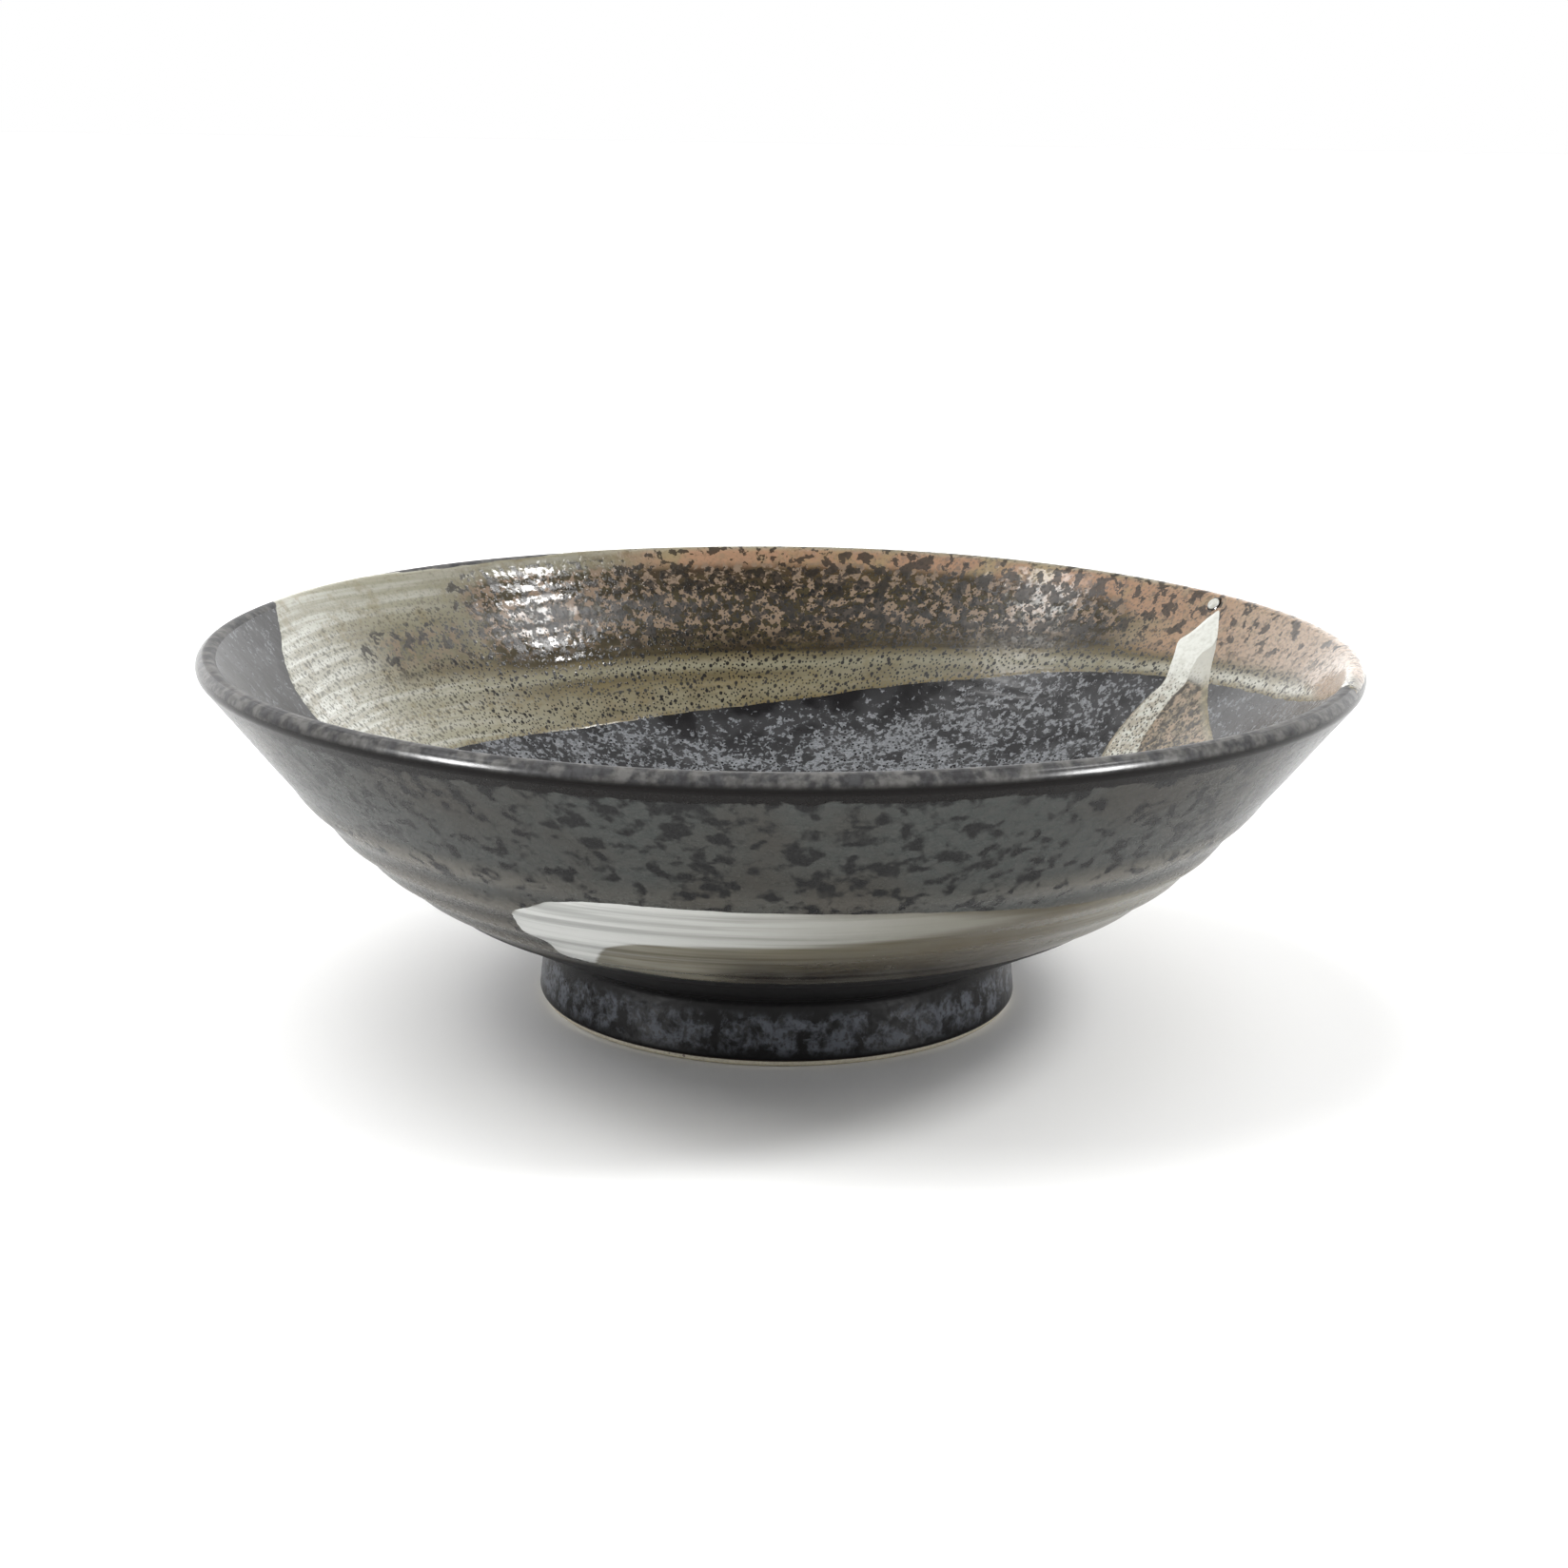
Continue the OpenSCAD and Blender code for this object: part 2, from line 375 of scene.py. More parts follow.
def broad_lift(bearing, below):
    depth = BROAD.depth(bearing, below)
    depth = depth + 0.22 * strands(bearing, below, 0.9, 2.4, 3.1)
    inside = smooth(depth, 0.4, 3)
    bristles = 0.02 * strands(bearing, below, 0.8, 25, 7.7)
    return layer(depth) + inside * bristles


def streak_lift(bearing, below):
    depth = STREAK.depth(bearing, below)
    depth = depth + 0.12 * strands(bearing, below, 1.6, 1.2, 11.9)
    under = np.maximum(broad_lift(bearing, below), 0)
    drag = 0.02 * strands(bearing, below, 30, 0.7, 4.2) * smooth(depth, 0.3, 2)
    return under + layer(depth, 1.2 * SLIP_T) + drag


def drop_depth(bearing, below):
    across = np.radians(bearing - DROP_AT[0]) * RIM_R
    return 1 - np.hypot(across / DROP_SIZE[0], (below - DROP_AT[1]) / DROP_SIZE[1])


def drop_lift(bearing, below):
    depth = drop_depth(bearing, below)
    dome = 0.3 * np.sqrt(np.clip(1 - (1 - depth) ** 2, 0, 1))
    return SLIP_T + np.where(depth > 0, dome, np.maximum(depth, -1) * BURIED)


def band_lift(bearing, below):
    depth = BAND.depth(bearing, below)
    depth = depth + 0.2 * strands(bearing, below, 1.1, 3.0, 21.3)
    bristles = 0.03 * strands(bearing, below, 0.9, 30, 1.4) * smooth(depth, 0.4, 3)
    return layer(depth) + bristles


# ------------ meshes
def signed_volume(points, quads):
    p = points[quads]
    one = np.einsum("ij,ij->i", p[:, 0], np.cross(p[:, 1], p[:, 2]))
    two = np.einsum("ij,ij->i", p[:, 0], np.cross(p[:, 2], p[:, 3]))
    return (one.sum() + two.sum()) / 6


def solid(name, points, quads, normals, values):
    """A closed mesh from millimetre points. A quad that repeats its last corner is a triangle."""
    if signed_volume(points, quads) < 0:
        quads = quads[:, ::-1]
    a, b, c = (points[quads[:, k]] for k in range(3))
    facing = np.cross(b - a, c - a)
    if np.sum(facing * normals[quads[:, 1]]) < 0:
        normals = -normals
    faces = [list(dict.fromkeys(q)) for q in quads.tolist()]
    mesh = bpy.data.meshes.new(name)
    mesh.from_pydata((points * MM).tolist(), [], faces)
    mesh.shade_smooth()
    mesh.normals_split_custom_set_from_vertices(normals.tolist())
    for key, value in values.items():
        kind = "FLOAT" if value.ndim == 1 else "FLOAT_VECTOR"
        attribute = mesh.attributes.new(key, kind, "POINT")
        attribute.data.foreach_set("value" if kind == "FLOAT" else "vector", value.ravel())
    piece = bpy.data.objects.new(name, mesh)
    bpy.context.scene.collection.objects.link(piece)
    return piece


def finish_piece(piece, paint, slot, *nodes):
    piece.data.materials.append(paint.material)
    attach(piece, "root")
    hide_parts(*nodes)


BEARINGS = np.arange(AROUND) * 360 / AROUND


def loops(rows, wrap):
    """The quads between rows of a lathe mesh."""
    i, j = np.meshgrid(np.arange(rows if wrap else rows - 1), np.arange(AROUND), indexing="ij")
    below, beside = (i + 1) % rows, (j + 1) % AROUND
    corners = [i * AROUND + j, i * AROUND + beside, below * AROUND + beside, below * AROUND + j]
    return np.stack(corners, -1).reshape(-1, 4)


def fan(row, pole):
    """Triangles from a row to a pole, as quads that repeat a corner."""
    j = np.arange(AROUND)
    first, second = row * AROUND + j, row * AROUND + (j + 1) % AROUND
    tip = np.full(AROUND, pole)
    if row == 0:
        first, second = second, first
    return np.stack([first, second, tip, tip], -1)


def turned(name, rows, normals, values, poles=None):
    """A lathe solid from rows of points. It closes on itself, or at a pole at each end."""
    count = len(rows)
    points, normals = rows.reshape(-1, 3), normals.reshape(-1, 3)
    values = {key: value.reshape(-1) for key, value in values.items()}
    quads = loops(count, poles is None)
    if poles is not None:
        quads = np.concatenate([quads, fan(0, len(points)), fan(count - 1, len(points) + 1)])
        points = np.concatenate([points, poles])
        ends = np.sign(normals[[0, -1], 2])[:, None] * [0, 0, 1]
        normals = np.concatenate([normals, ends])
        values = {key: np.append(value, value[[0, -1]]) for key, value in values.items()}
    return solid(name, points, quads, normals, values)


def skin(u_front, u_back):
    """Rows of a glaze layer: its face, then its back, GLAZE_T deeper."""
    u = np.concatenate([u_front, u_back])[:, None] + 0 * BEARINGS
    bearing = BEARINGS + 0 * u
    lift = np.concatenate([0 * u_front, 0 * u_back - GLAZE_T])[:, None] + 0 * BEARINGS
    side = np.where(lift < 0, -1, 1)[..., None]
    return u, bearing, on_wall(u, bearing, lift), wall_normals(u, bearing) * side


def spread(start, stop, step):
    return np.linspace(start, stop, max(2, int(round(abs(stop - start) / step)) + 1))


def quarters(grid):
    """Four views of a grid, one for each corner of its cells."""
    return grid[:-1, :-1], grid[:-1, 1:], grid[1:, :-1], grid[1:, 1:]


def fill_corners(keep):
    """Adds cells so that kept cells never touch at one corner only."""
    for _ in range(3):
        a, b, c, d = quarters(keep)
        cross = (a & d & ~b & ~c) | (b & c & ~a & ~d)
        for part in quarters(keep):
            part |= cross
    return keep


def patch(name, outline, lift, bearings, belows, values):
    """A closed layer of slip over the part of a grid that its outline covers."""
    bearing, below = np.meshgrid(bearings, belows)
    u = outline.length_at(below)
    turn = outline.turn(bearing)
    height = lift(bearing, below)
    face = on_wall(u, turn, height)
    back = on_wall(u, turn, -ROOT_DEPTH)
    normal = np.cross(np.gradient(face, axis=1), np.gradient(face, axis=0))
    normal /= np.linalg.norm(normal, axis=-1, keepdims=True)
    normal *= np.sign(np.sum(normal * wall_normals(u, turn), -1, keepdims=True))
    keep = fill_corners(np.logical_or.reduce(quarters(height > 0)))
    used = np.zeros(bearing.shape, bool)
    for part in quarters(used):
        part |= keep
    index = np.full(bearing.shape, -1)
    count = int(used.sum())
    index[used] = np.arange(count)
    a, b, c, d = quarters(index)
    top = np.stack([part[keep] for part in (a, b, d, c)], -1)
    edges = np.concatenate([top[:, [k, (k + 1) % 4]] for k in range(4)])
    key, twin = edges[:, 0] * count + edges[:, 1], edges[:, 1] * count + edges[:, 0]
    rim = edges[~np.isin(key, twin)]
    sides = np.stack([rim[:, 1], rim[:, 0], rim[:, 0] + count, rim[:, 1] + count], -1)
    quads = np.concatenate([top, top[:, ::-1] + count, sides])
    points = np.concatenate([face[used], back[used]])
    normals = np.concatenate([normal[used], -normal[used]])
    given = values(bearing, below)
    both = {key: np.concatenate([value[used]] * 2) for key, value in given.items()}
    return solid(name, points, quads, normals, both)


# ------------ paint
def tone(red, green, blue):
    """A colour as the eye reads it, 0 to 255, in linear light."""
    def linear(v):
        v = v / 255
        return v / 12.92 if v <= 0.04045 else ((v + 0.055) / 1.055) ** 2.4
    return (linear(red), linear(green), linear(blue), 1.0)


class Field:
    """A value that changes over the surface. Sums and products of fields become Math nodes."""

    def __init__(self, paint, socket):
        self.paint, self.socket = paint, socket

    def __add__(self, other):
        return self.paint.math("ADD", self, other)

    def __sub__(self, other):
        return self.paint.math("SUBTRACT", self, other)

    def __rsub__(self, other):
        return self.paint.math("SUBTRACT", other, self)

    def __mul__(self, other):
        return self.paint.math("MULTIPLY", self, other)

    def over(self, other):
        return self.paint.math("MAXIMUM", self, other)

    def step(self, low, high):
        """0 below low and 1 above high, or the other way round if low is the larger."""
        if low > high:
            ends = {"From Min": high, "From Max": low, "To Min": 1.0, "To Max": 0.0}
        else:
            ends = {"From Min": low, "From Max": high, "To Min": 0.0, "To Max": 1.0}
        node = self.paint.node("ShaderNodeMapRange", ends, interpolation_type="SMOOTHSTEP")
        self.paint.feed(node.inputs["Value"], self)
        return Field(self.paint, node.outputs["Result"])

    __radd__ = __add__
    __rmul__ = __mul__


class Nodes:
    """A node tree, with short ways to make and join its nodes."""

    def __init__(self, tree):
        self.tree = tree

    def node(self, kind, constants=None, **settings):
        """A new node, with the constants that its own sockets hold."""
        node = self.tree.nodes.new(kind)
        for key, value in settings.items():
            setattr(node, key, value)
        for key, value in (constants or {}).items():
            node.inputs[key].default_value = value
        return node

    def feed(self, socket, value):
        if isinstance(value, Field):
            value = value.socket
        if isinstance(value, bpy.types.NodeSocket):
            self.tree.links.new(value, socket)
        else:
            socket.default_value = value

    def math(self, operation, *values):
        node = self.node("ShaderNodeMath", operation=operation)
        for socket, value in zip(node.inputs, values):
            self.feed(socket, value)
        return Field(self, node.outputs[0])


class Paint(Nodes):
    """A node material for one glaze, slip or clay. Its textures are measured in millimetres."""

    def __init__(self, name):
        self.material = bpy.data.materials.new(name)
        self.material.use_nodes = True
        super().__init__(self.material.node_tree)
        self.shader = self.tree.nodes["Principled BSDF"]
        scale = self.node("ShaderNodeVectorMath", {"Scale": 1 / MM}, operation="SCALE")
        self.feed(scale.inputs[0], self.node("ShaderNodeTexCoord").outputs["Object"])
        self.place = scale.outputs[0]

    def value(self, name):
        node = self.node("ShaderNodeAttribute", attribute_name=name)
        return Field(self, node.outputs["Fac"])

    def brush_place(self, scales=None):
        """The place along and across the brush's path, scaled along each axis."""
        place = self.node("ShaderNodeAttribute", attribute_name="brush").outputs["Vector"]
        if scales is None:
            return place
        node = self.node("ShaderNodeVectorMath", {1: scales}, operation="MULTIPLY")
        self.feed(node.inputs[0], place)
        return node.outputs[0]

    def noise(self, scale, detail=2.0, rough=0.5, warp=0.0, place=None):
        node = self.node("ShaderNodeTexNoise", {
            "Scale": scale, "Detail": detail, "Roughness": rough, "Distortion": warp})
        self.feed(node.inputs["Vector"], place or self.place)
        return Field(self, node.outputs[0])

    def specks(self, scale, radius, share, place=None):
        """Small round dots, one to a cell, in a share of the cells. A stored place is flat."""
        flat = "2D" if place else "3D"
        node = self.node("ShaderNodeTexVoronoi", {"Scale": scale}, voronoi_dimensions=flat)
        self.feed(node.inputs["Vector"], place or self.place)
        near = Field(self, node.outputs["Distance"]).step(radius * 1.2, radius * 0.8)
        split = self.node("ShaderNodeSeparateColor")
        self.feed(split.inputs[0], node.outputs["Color"])
        chance = Field(self, split.outputs[0]) - share
        return near * chance.step(0.02, -0.02)

    def mix(self, factor, first, second):
        node = self.node("ShaderNodeMix", data_type="RGBA")
        self.feed(node.inputs["Factor"], factor)
        self.feed(node.inputs[6], first)
        self.feed(node.inputs[7], second)
        return node.outputs[2]

    def finish(self, colour, roughness, height, depth, gloss=0.5):
        """Wires colour, roughness and a height of depth millimetres into the shader."""
        self.feed(self.shader.inputs["Base Color"], colour)
        self.feed(self.shader.inputs["Roughness"], roughness)
        self.shader.inputs["IOR"].default_value = 1.5
        self.shader.inputs["Specular IOR Level"].default_value = gloss
        node = self.node("ShaderNodeBump", {"Strength": 1.0, "Distance": depth * MM})
        self.feed(node.inputs["Height"], height)
        self.feed(self.shader.inputs["Normal"], node.outputs["Normal"])
        return self


# Glaze and slip colours
BLACK = tone(20, 19, 20)
CHARCOAL = tone(60, 60, 61)
SILVER = tone(116, 118, 121)
WALL_GREY = tone(66, 67, 65)
WALL_DARK = tone(30, 30, 30)
WALL_BROWN = tone(56, 50, 43)
FOOT_BLUE = tone(100, 104, 112)
LIP_BROWN = tone(13, 10, 9)
CLAY = tone(208, 200, 172)
CLAY_DARK = tone(176, 162, 130)
WHITE = tone(204, 205, 198)
PALE = tone(164, 163, 152)
CELADON = tone(134, 131, 112)
OLIVE = tone(84, 76, 54)
TAN = tone(112, 101, 80)
FRINGE = tone(112, 98, 62)
UMBER = tone(44, 37, 26)
SOOT = tone(32, 26, 19)
FLAKE = tone(126, 109, 92)
SALMON = tone(156, 123, 98)


def peel(paint):
    """The slow waviness of a glaze that has melted and set."""
    return paint.noise(0.75, detail=1.5, rough=0.4)


def paint_inside():
    """Near-black glaze with a net of silver crystals, which thins out beside the slip."""
    p = Paint("inside_glaze")
    net = p.noise(0.9, detail=4, rough=0.64, warp=0.4)
    cloud = p.noise(0.16, detail=2)
    silver = (net * 0.8 + cloud * 0.2 + p.value("lace") * 0.1).step(0.565, 0.63)
    dots = p.specks(1.5, 0.34, 0.9)
    tiny = p.noise(3.0, detail=2)
    base = p.mix(cloud.step(0.4, 0.6) * 0.5 + p.value("lace") * 0.5, BLACK, CHARCOAL)
    bright = p.mix(tiny.step(0.35, 0.65), SILVER, tone(90, 92, 94))
    colour = p.mix(silver, base, bright)
    colour = p.mix(dots * silver, colour, BLACK)
    rough = silver * 0.12 + p.value("dull") * 0.1 + 0.14
    return p.finish(colour, rough, peel(p) + silver * 0.12, 0.05)


def paint_outside():
    """Grey glaze with soft dark spots that crowd together below the lip. It has painted shade
    below the lip and above the foot, and painted highlights on the ridges.
    """
    p = Paint("outside_glaze")
    spots = p.noise(0.42, detail=2.5, rough=0.5, warp=0.3)
    fine = p.noise(0.9, detail=3, rough=0.6)
    cloud = p.noise(0.05, detail=2)
    # The band below the lip is partly the thin dark glaze there and partly painted shade under
    # the crest. It also gathers more dark spots.
    crowd = p.value("lip_shade_band") * 0.12 - p.value("plain") * 0.12
    dark = (spots * 0.85 + fine * 0.15 + crowd).step(0.48, 0.62)
    grey = p.mix(fine.step(0.35, 0.65), WALL_GREY, tone(60, 63, 61))
    grey = p.mix(cloud.step(0.4, 0.62) * 0.5, grey, WALL_BROWN)
    # painted highlight: the throwing ridges are lightened, most at the bowl's sides where the
    # side lamps catch their crests
    grey = p.mix(p.value("ridge") * 0.8, grey, tone(106, 102, 94))
    colour = p.mix(dark, grey, WALL_DARK)
    # painted shade under the lip's crest: a ragged band of the lip's dark brown, partly also the
    # thin glaze
    colour = p.mix((p.value("lip_shade_band") + spots - 0.5).step(0.6, 0.8), colour, LIP_BROWN)
    # painted shade: the lower wall is painted black down to the foot, where it faces the floor
    colour = p.mix(p.value("foot_shade"), colour, BLACK)
    rough = fine * 0.1 + p.value("foot_shade") * 0.3 + 0.22
    return p.finish(colour, rough, peel(p), 0.02, 0.12)


def paint_lip():
    """The band where the glaze has run thin over the lip. It is darkest at its outer edge, partly
    from the thin glaze and partly as painted shade under the crest.
    """
    p = Paint("lip_band")
    spots = p.noise(0.42, detail=3, rough=0.6)
    fine = p.noise(1.1, detail=3)
    grey = p.value("pale") * (fine.step(0.34, 0.66) * 0.35 + 0.55)
    mottle = p.mix(spots.step(0.4, 0.6), tone(74, 74, 75), tone(104, 103, 101))
    # painted shade: outside its pale top the lip is near-black, partly thin glaze and partly
    # shade under the crest
    colour = p.mix(grey, LIP_BROWN, mottle)
    rough = spots * 0.08 + p.value("inner_side").step(0.6, 1.0) * 0.26 + 0.19
    return p.finish(colour, rough, peel(p), 0.015, 0.1)


def paint_foot():
    p = Paint("foot_black")
    net = p.noise(0.36, detail=4, rough=0.62, warp=0.3)
    fine = p.noise(1.4, detail=2)
    # The mottles keep to the middle of the foot. Its plain black top is partly the glaze and
    # partly painted shade under the wall.
    blue = (net * 0.85 + fine * 0.15).step(0.41, 0.57) * p.value("middle")
    colour = p.mix(blue, BLACK, p.mix(fine.step(0.44, 0.66), FOOT_BLUE, CHARCOAL))
    colour = p.mix(p.value("edge"), colour, tone(70, 52, 36))
    return p.finish(colour, fine * 0.1 + 0.2, peel(p), 0.05, 0.12)


def paint_hollow():
    p = Paint("hollow_glaze")
    net = p.noise(0.35, detail=4, rough=0.6, warp=0.5)
    fine = p.noise(1.2, detail=2)
    colour = p.mix((net * 0.8 + fine * 0.2).step(0.50, 0.62), BLACK, CHARCOAL)
    return p.finish(colour, fine * 0.12 + 0.24, peel(p), 0.06)


def paint_clay(name, colour, other):
    """Bare fired stoneware: fine sand, and a few iron specks."""
    p = Paint(name)
    sand = p.noise(2.4, detail=4, rough=0.7)
    warmth = p.noise(0.12, detail=2)
    shade = p.mix(sand.step(0.35, 0.7) * 0.6 + warmth * 0.3, colour, other)
    shade = p.mix(p.specks(0.5, 0.12, 0.3), shade, tone(96, 74, 52))
    return p.finish(shade, sand * 0.2 + 0.7, sand, 0.05)


def paint_broad():
    """Translucent slip: celadon and tan bands, salmon by the lip, with flakes and dark spots."""
    p = Paint("broad_slip")
    pale, dark, warm, end = p.value("pale"), p.value("dark"), p.value("warm"), p.value("end")
    line, deep, fringe = p.value("line"), p.value("deep"), p.value("fringe")
    strand = p.noise(1.0, detail=3, rough=0.55, place=p.brush_place((0.03, 0.75, 1)))
    cloud = p.noise(0.2, detail=2)
    fine = p.noise(1.8, detail=3, rough=0.6)
    flakes = p.noise(0.68, detail=4, rough=0.55, warp=0.2)
    blots = p.noise(0.5, detail=3, rough=0.55, warp=0.2)
    ground = p.mix(strand.step(0.36, 0.62), OLIVE, TAN)
    ground = p.mix((cloud.step(0.3, 0.7) * 0.4 + 0.3) * (1 - deep), ground, CELADON)
    ground = p.mix(deep * 0.75, ground, OLIVE)
    ground = p.mix(line, ground, p.mix(end, CELADON, PALE))
    ground = p.mix(pale, ground, p.mix(strand.step(0.35, 0.6) * 0.8, PALE, CELADON))
    ground = p.mix(p.value("bright"), ground, p.mix(strand.step(0.35, 0.6), WHITE, PALE))
    tint = p.noise(0.3, detail=4, rough=0.65).step(0.52, 0.66)
    ground = p.mix(tint * 0.35, ground, FRINGE)
    ground = p.mix(p.value("thin"), ground, OLIVE)
    salmon = p.mix(p.noise(0.14, detail=3).step(0.5, 0.66), SALMON, tone(146, 128, 96))
    salmon = p.mix(end, salmon, tone(150, 130, 110))
    ground = p.mix(warm * (flakes.step(0.3, 0.5) * 0.4 + 0.6), ground, salmon)
    ground = p.mix(fringe * fine.step(0.4, 0.6), ground, FRINGE)
    ground = p.mix(fine.step(0.5, 0.7) * 0.3, ground, tone(72, 67, 54))
    veil = p.mix((strand * 0.6 + cloud * 0.4).step(0.42, 0.6), UMBER, tone(60, 53, 36))
    shaded = p.mix(dark.step(0.15, 0.6) * 0.92, ground, veil)
    flake = (flakes * 0.85 + fine * 0.15).step(0.505, 0.53) * p.value("flaked")
    shaded = p.mix(flake, shaded, FLAKE)
    crowd = dark * 0.03 + warm * (1 - end) * 0.018
    mask = (blots * 0.85 + fine * 0.15 + crowd).step(0.555, 0.57)
    mask = mask * dark.step(0.02, 0.08) * p.value("blotted")
    colour = p.mix(mask * 0.85, shaded, SOOT)
    place = p.brush_place()
    dots = p.specks(1.25, 0.23, 0.85, place).over(p.specks(0.6, 0.22, 0.5, place))
    colour = p.mix(dots * p.value("specks"), colour, tone(24, 22, 19))
    rough = mask.over(dots) * 0.18 + p.value("frost").over(fringe) * 0.16 + 0.07
    height = peel(p) + p.noise(0.32) * 1.6 - mask * 0.15 - dots * 0.2
    return p.finish(colour, rough, height, 0.05, 0.4)


def paint_streak():
    """White where the slip is thick, tan and speckled where it is thin."""
    p = Paint("streak_slip")
    white = p.value("white")
    fine = p.noise(1.3, detail=4, rough=0.6)
    blot = p.noise(0.7, detail=4, rough=0.6)
    thin = p.mix(blot.step(0.38, 0.5), tone(134, 117, 98), tone(112, 101, 82))
    thin = p.mix((blot * 0.6 + fine * 0.4).step(0.475, 0.54), thin, tone(56, 49, 40))
    thin = p.mix(p.value("veil") * 0.9, thin, tone(176, 175, 166))
    thick = p.mix(fine.step(0.4, 0.7) * 0.4, WHITE, PALE)
    thick = p.mix(p.value("specks") * 0.75, thick, p.mix(blot.step(0.4, 0.6), PALE, TAN))
    colour = p.mix((white + (fine - 0.5) * 0.5).step(0.4, 0.6), thin, thick)
    dots = p.specks(1.3, 0.24, 0.8, p.brush_place())
    colour = p.mix(dots * p.value("specks"), colour, tone(46, 43, 38))
    colour = p.mix(p.value("edge") * 0.55, colour, tone(142, 137, 118))
    return p.finish(colour, fine * 0.08 + 0.14, peel(p), 0.04)


def paint_drop():
    p = Paint("drop_slip")
    fine = p.noise(1.2, detail=2)
    colour = p.mix(p.value("edge"), p.mix(fine.step(0.3, 0.7), WHITE, PALE), SOOT)
    return p.finish(colour, fine * 0.06 + 0.12, peel(p), 0.02)


def paint_band():
    """The outer stroke: white where the brush landed, thinning to grey, tan and olive."""
    p = Paint("band_slip")
    white, low = p.value("white"), p.value("low")
    strand = p.noise(1.0, detail=3, rough=0.6, place=p.brush_place((0.025, 0.7, 1)))
    cloud = p.noise(0.12, detail=2)
    fine = p.noise(0.9, detail=3, rough=0.6)
    thin = p.mix(strand.step(0.35, 0.62), tone(100, 95, 81), tone(132, 129, 117))
    thin = p.mix(p.value("fade") * 0.9, thin, tone(74, 66, 48))
    thin = p.mix(low, thin, tone(26, 20, 12))
    thin = p.mix(cloud.step(0.45, 0.65) * 0.3, thin, tone(90, 88, 80))
    thick = p.mix(strand.step(0.3, 0.6), tone(162, 163, 160), tone(199, 200, 197))
    thick = p.mix(p.value("fade"), thick, tone(120, 118, 108))
    colour = p.mix((white + (strand - 0.5) * 0.5).step(0.25, 0.75), thin, thick)
    return p.finish(colour, fine * 0.1 + 0.2, peel(p), 0.04, 0.2)


# ------------ pieces
def lower_edge(bearing):
    """How far below the lip the broad stroke's lower edge runs."""
    return np.interp(bearing, *zip(*LOWER_EDGE))


def from_start(bearing):
    """Bearings from -180 to 180."""
    return (bearing + 180) % 360 - 180


def row_normals(rows):
    around = np.roll(rows, -1, 1) - np.roll(rows, 1, 1)
    normal = np.cross(around, np.gradient(rows, axis=0))
    return normal / np.maximum(np.linalg.norm(normal, axis=-1, keepdims=True), 1e-9)


def path(*corners, step=0.5):
    """Points along straight runs between corners."""
    points = [np.array(corners[0], float)]
    for a, b in zip(corners, corners[1:]):
        a, b = np.array(a, float), np.array(b, float)
        count = max(1, int(math.ceil(np.linalg.norm(b - a) / step)))
        points += [a + (b - a) * k / count for k in range(1, count + 1)]
    return np.array(points)


def revolve(section, turning=lambda r, z, bearing: 0.0):
    """Rows of points from a section, lowered or raised by its turning marks."""
    r = section[:, :1] + 0 * BEARINGS
    z = section[:, 1:] + 0 * BEARINGS
    bearing = BEARINGS + 0 * r
    return spin(r, z + turning(r, z, bearing), bearing)


def make_inside():
    u, bearing, rows, normals = skin(spread(0.5, U_LIP_IN, 0.56), spread(U_LIP_IN, 0.5, 11))
    bearing = from_start(bearing)
    below = U_LIP_IN - u
    rim = np.clip(-BROAD.depth(bearing, below), 0, 40)
    black = smooth(rim, 11, 2) * smooth(bearing, -34, -8) * smooth(bearing, 44, 18)
    left = smooth(bearing, -70, -80) * smooth(bearing, -130, -95) * smooth(below, 34, 24)
    right = smooth(bearing, 30, 60) * smooth(bearing, 130, 90) * smooth(rim, 24, 12)
    lace = 1 - 0.9 * black - 0.7 * left - 0.5 * right - 0.35 * smooth(rim, 3, 0.5)
    poles = on_wall(np.zeros(2), np.zeros(2), np.array([0, -GLAZE_T]))
    dull = smooth(bearing, 8, 26) * smooth(bearing, 130, 90) * smooth(rim, 16, 6)
    dull = np.maximum(dull, 2.5 * left)
    piece = turned("glaze_inside", rows, normals, {"lace": lace, "dull": dull}, poles)
    finish_piece(piece, paint_inside(), "well_glaze", "inner_glaze")


def make_lip():
    u, _, rows, normals = skin(
        spread(U_LIP_IN, U_LIP_OUT, 0.2), spread(U_LIP_OUT, U_LIP_IN, 0.8))
    inner = smooth(u, U_LIP_IN + 3.0, U_LIP_IN + 1.4)
    pale = smooth(u, U_LIP_IN + 3.9, U_LIP_IN + 3.1)
    piece = turned("glaze_lip", rows, normals, {"inner_side": inner, "pale": pale})
    finish_piece(piece, paint_lip(), "lip_glaze", "lip_glaze")


def make_outside():
    u, bearing, rows, normals = skin(
        spread(U_LIP_OUT, U_CORNER, 0.55), spread(U_CORNER, U_LIP_OUT, 8))
    # a band just below the lip that is painted dark: painted shade under the crest, partly the
    # thin glaze there
    near = smooth(u - U_LIP_OUT, 2.7, 0.7)
    # painted highlight on the ridges: weak at the front, full at the bowl's sides
    ridge = outer_ridges(radius_at(u)) / RIDGE_H
    aside = smooth(abs(from_start(180 - bearing)), 18, 42)
    ridge *= 0.25 + 0.75 * aside
    plain = smooth(u - U_LIP_OUT, 19, 26) * aside
    # painted shade on the lower wall, from below the band down to the foot
    foot_shade = smooth(u - U_LIP_OUT, 42.6, 44.2)
    values = {"lip_shade_band": near, "foot_shade": foot_shade, "ridge": ridge, "plain": plain}
    piece = turned("glaze_outside", rows, normals, values)
    finish_piece(piece, paint_outside(), "wall_glaze", "outer_glaze")


